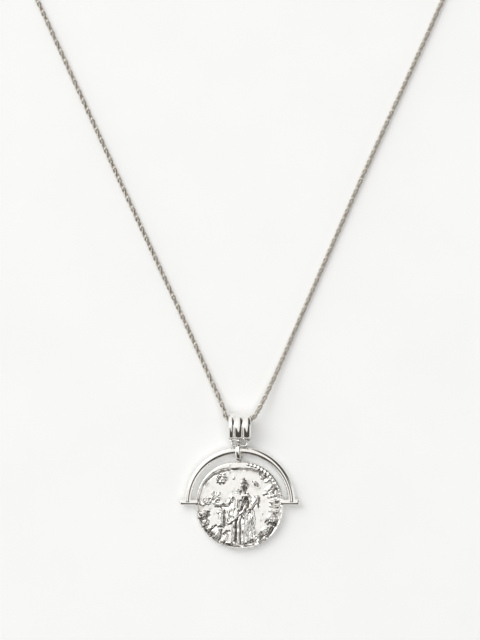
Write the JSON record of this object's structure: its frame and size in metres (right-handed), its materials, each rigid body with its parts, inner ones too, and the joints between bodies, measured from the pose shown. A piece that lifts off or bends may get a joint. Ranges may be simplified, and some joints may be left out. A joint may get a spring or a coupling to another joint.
{
  "type": "coin pendant on a rope chain",
  "caption": "Struck-style coin with a draped figure, soldered to side bars under a half hoop, hung by a link and a ribbed bail on a fine rope chain.",
  "frame": {"origin": "centre of the coin's flat back, on the surface that the necklace lies on", "axes": "+Y from the coin to the clasp, +X to the right of someone who sees the coin's face with the bail at the top, +Z out of the coin's face"},
  "size_m": [0.1112, 0.2096, 0.0061],
  "materials": {
    "cast_silver": "polished cast silver, darkened in the low places",
    "polished_silver": "mirror-polished silver",
    "chain_silver": "polished silver wire, shaded between the links"
  },
  "bodies": {
    "root": {"coin_and_hoop": "cast_silver", "link_ring": "polished_silver", "bail": "polished_silver", "rope_chain": "chain_silver", "clasp": "polished_silver"}
  },
  "joints": []
}
